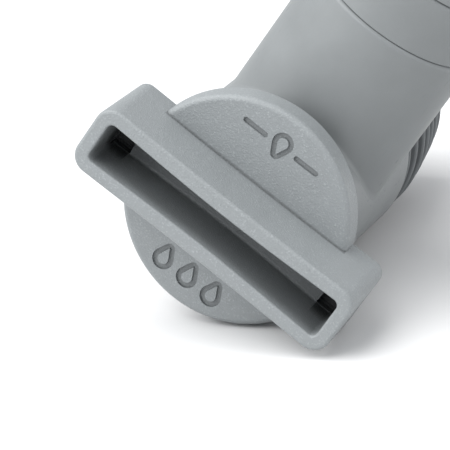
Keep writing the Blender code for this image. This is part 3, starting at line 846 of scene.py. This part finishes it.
# Breather: a drawn steel tube lets air into the bottle while it pours. A three-armed plastic
# spider, pressed into the mouth of the core, holds it to one side.
tube_low, tube_high = box_mm("air_tube")
tube_y = (tube_low.y + tube_high.y) / 2
tube_radius = (tube_high.x - tube_low.x) / 2
air_tube = turned("breather_tube", [
    (tube_radius, tube_high.z, 0.15), (tube_radius, tube_low.z, 0.15),
    (0.9, tube_low.z, 0.15), (0.9, tube_high.z, 0.15),
], sides=64, axis_xy=(0.0, tube_y))
fit(smooth(air_tube), "body", "air_tube", steel)
web_low, web_high = box_mm("inlet_spider")
rim = web_high.x
spider = turned("spider_moulding", [
    (rim, web_high.z, 0.2), (rim, web_low.z, 0.2),
    (rim - 0.8, web_low.z, 0.25), (rim - 0.8, web_high.z, 0.25),
])
hub = rod("hub", tube_radius + 0.8, web_low.z + 0.1, web_high.z - 0.1,
          sides=64, axis_xy=(0.0, tube_y), edge=0.2)
arms = []
for half_x, half_y, set_back in ((0.4, rim - 0.4, 0.2), (rim - 0.4, 0.4, 0.3)):
    levels = ((web_low.z + set_back, 0.12), (web_low.z + set_back + 0.15, 0.0),
              (web_high.z - set_back - 0.15, 0.0), (web_high.z - set_back, 0.12))
    arms.append(block("arm", half_x, half_y, levels))
worked(spider, [hub] + arms, "UNION")
tube_hole = rod("tube_hole", tube_radius + 0.1, web_low.z - 1, web_high.z + 1,
                sides=64, axis_xy=(0.0, tube_y))
worked(spider, [tube_hole])
fit(smooth(spider), "body", "inlet_spider", satin_grey)

# Outlet ring: a grey moulded ring pushed into the end of the branch, a little smaller than
# the body's lip, with a fine seam between them. The nozzle turns inside it.
outer, ring_end, spigot_start = ring_high.x, ring_high.y, ring_low.y
ring_start = branch_end + 0.05
spigot, ring_bore = 8.9, 7.0
outlet_groove, outlet_groove_start, outlet_groove_end = 7.9, 21.0, 22.5
outlet_ring = turned("outlet_ring_moulding", [
    (outer, ring_end, 0.45), (outer, ring_start, 0.08), (spigot, ring_start, 0.1),
    (spigot, outlet_groove_end, 0.05), (outlet_groove, outlet_groove_end, 0.15),
    (outlet_groove, outlet_groove_start, 0.15), (spigot, outlet_groove_start, 0.05),
    (spigot, spigot_start, 0.3), (ring_bore, spigot_start, 0.3), (ring_bore, ring_end, 0.2),
], sides=192, axis_z=branch_axis)
fit(smooth(outlet_ring), "body", "outlet_ring", satin_grey)

# Nozzle: a tapering grey moulding with a slanted mouth. Its spigot turns in the outlet ring,
# sealed by an O-ring, and a spring steel C clip behind the ring keeps it in.
nozzle_low, nozzle_high = box_mm("nozzle")
tip_radius, nozzle_bore, slant = 6.7, 5.2, math.tan(math.radians(24))
spigot_radius, nozzle_start = 6.92, ring_end + 0.06
shear_from = nozzle_high.y - 18.0
nozzle_groove, clip_start, clip_end, seal_start, seal_end = 6.1, 18.3, 19.3, 24.0, 25.2


def slanted(height, aside):
    """The nozzle's far end leans so that its mouth lies in a slanted plane."""
    if height <= shear_from:
        return height
    share = min(1.0, (height - shear_from) / 12.0)
    ease = share * share * (3 - 2 * share)
    return height - ease * slant * (tip_radius + aside)


taper_start, taper_length = nozzle_start + 3.4, 15.0
corners = [(tip_radius, nozzle_high.y, 0.55)]
for step in range(17):
    share = 1 - step / 16
    blend = (1 + math.cos(math.pi * share)) / 2
    corners.append((tip_radius + (outer - tip_radius) * blend, taper_start + taper_length * share, 0))
corners += [
    (outer, nozzle_start, 0.08), (spigot_radius, nozzle_start, 0.1), (spigot_radius, seal_end, 0.05),
    (nozzle_groove, seal_end, 0.1), (nozzle_groove, seal_start, 0.1), (spigot_radius, seal_start, 0.05),
    (spigot_radius, clip_end, 0.05), (nozzle_groove, clip_end, 0.05),
    (nozzle_groove, clip_start, 0.05), (spigot_radius, clip_start, 0.05),
    (spigot_radius, nozzle_low.y, 0.25), (nozzle_bore, nozzle_low.y, 0.25),
    (nozzle_bore, nozzle_high.y, 0.45),
]
nozzle = turned("nozzle_moulding", corners, sides=192, axis_z=branch_axis, sheared=slanted)
fit(smooth(nozzle), "swivel_nozzle", "nozzle", satin_grey)
clip_low, clip_high = box_mm("nozzle_clip")
clip_radius = clip_high.x
clip = turned("spring_clip", [
    (clip_radius, clip_high.y, 0.1), (clip_radius, clip_low.y, 0.1),
    (6.2, clip_low.y, 0.1), (6.2, clip_high.y, 0.1),
], sides=96, axis_z=branch_axis, steps=3)
gap_ring = [(-2.6, 3), (2.6, 3), (2.6, 12), (-2.6, 12)]
worked(clip, [loft("clip_gap", [[(x, y, branch_axis + z) for x, z in gap_ring] for y in (17, 21)])])
fit(smooth(clip), "swivel_nozzle", "nozzle_clip", steel)

# Table: a plain pale matt sheet. The spout lies on it on the edge of its disc, a corner of
# its bar and the stopper's rings, so the sheet leans in the spout's own frame.
table_up = Vector((-0.606, 0.795, 0.058)).normalized()
graph = bpy.context.evaluated_depsgraph_get()
lowest = min(
    table_up.dot(piece.matrix_world @ vertex.co)
    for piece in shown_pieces() for vertex in piece.evaluated_get(graph).data.vertices
)
table_mesh = bpy.data.meshes.new("table")
bm = bmesh.new()
bmesh.ops.create_grid(bm, x_segments=1, y_segments=1, size=3.0)
bm.to_mesh(table_mesh)
bm.free()
table = bpy.data.objects.new("table", table_mesh)
bpy.context.scene.collection.objects.link(table)
table.rotation_mode = "QUATERNION"
table.rotation_quaternion = table_up.to_track_quat("Z", "Y")
sheet_gap = 0.00002
table.location = table_up * (lowest - sheet_gap)
paper = bpy.data.materials.new("Pale paper")
paper.use_nodes = True
tree = paper.node_tree
shader = tree.nodes["Principled BSDF"]
shader.inputs["Base Color"].default_value = (0.72, 0.72, 0.72, 1.0)
shader.inputs["Roughness"].default_value = 0.85
clear = tree.nodes.new("ShaderNodeBsdfTransparent")
facing = node(tree, "ShaderNodeMixShader", [], [],
              [(0, tree.nodes.new("ShaderNodeNewGeometry").outputs["Backfacing"]),
               (1, shader.outputs[0]), (2, clear.outputs[0])])
tree.links.new(facing.outputs[0], tree.nodes["Material Output"].inputs["Surface"])
table.data.materials.append(paper)
table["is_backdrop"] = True

# Camera: a long lens in front of the knob, a little above it, rolled so that the bar runs
# down to the right and the branch tube leaves by the upper right corner.
to_camera = Vector((0.09291, 0.43092, 0.8976)).normalized()
picture_up = Vector((-0.61837, 0.73153, -0.28719))
picture_right = picture_up.cross(to_camera).normalized()
picture_up = to_camera.cross(picture_right)
rim_centre = Vector((0.0, 0.0, rim_z * MM))
camera_data = bpy.data.cameras.new("camera")
camera_data.sensor_width = 36.0
camera_data.lens = 240.0
camera_data.clip_start = 0.01
camera = bpy.data.objects.new("camera", camera_data)
bpy.context.scene.collection.objects.link(camera)
turned_to = Matrix((picture_right, picture_up, to_camera)).transposed().to_4x4()
aim_right, aim_up, camera_distance = 0.00152, 0.000646, 0.334494
stand = rim_centre + picture_right * aim_right + picture_up * aim_up + to_camera * camera_distance
camera.matrix_world = Matrix.Translation(stand) @ turned_to
bpy.context.scene.camera = camera
bpy.context.scene.view_settings.view_transform = "Standard"


# Light: one large soft box above and to the left, a weaker one to the right, and a pale room
# that lifts the shadows on the table.
def soft_box(name, direction, distance, size, watts):
    data = bpy.data.lights.new(name, "AREA")
    data.size = size
    data.energy = watts
    lamp = bpy.data.objects.new(name, data)
    bpy.context.scene.collection.objects.link(lamp)
    lamp.location = rim_centre + direction.normalized() * distance
    lamp.rotation_mode = "QUATERNION"
    lamp.rotation_quaternion = direction.to_track_quat("Z", "Y")


soft_box("key", table_up * 1.0 - picture_right * 0.75 + to_camera * 0.25, 0.6, 0.8, 7.4)
soft_box("fill", table_up * 0.6 + picture_right * 0.9 + to_camera * 0.5, 0.8, 0.5, 1.5)
world = bpy.data.worlds.new("room")
bpy.context.scene.world = world
world.use_nodes = True
world.node_tree.nodes["Background"].inputs["Color"].default_value = (0.95, 0.97, 1.0, 1.0)
world.node_tree.nodes["Background"].inputs["Strength"].default_value = 0.75
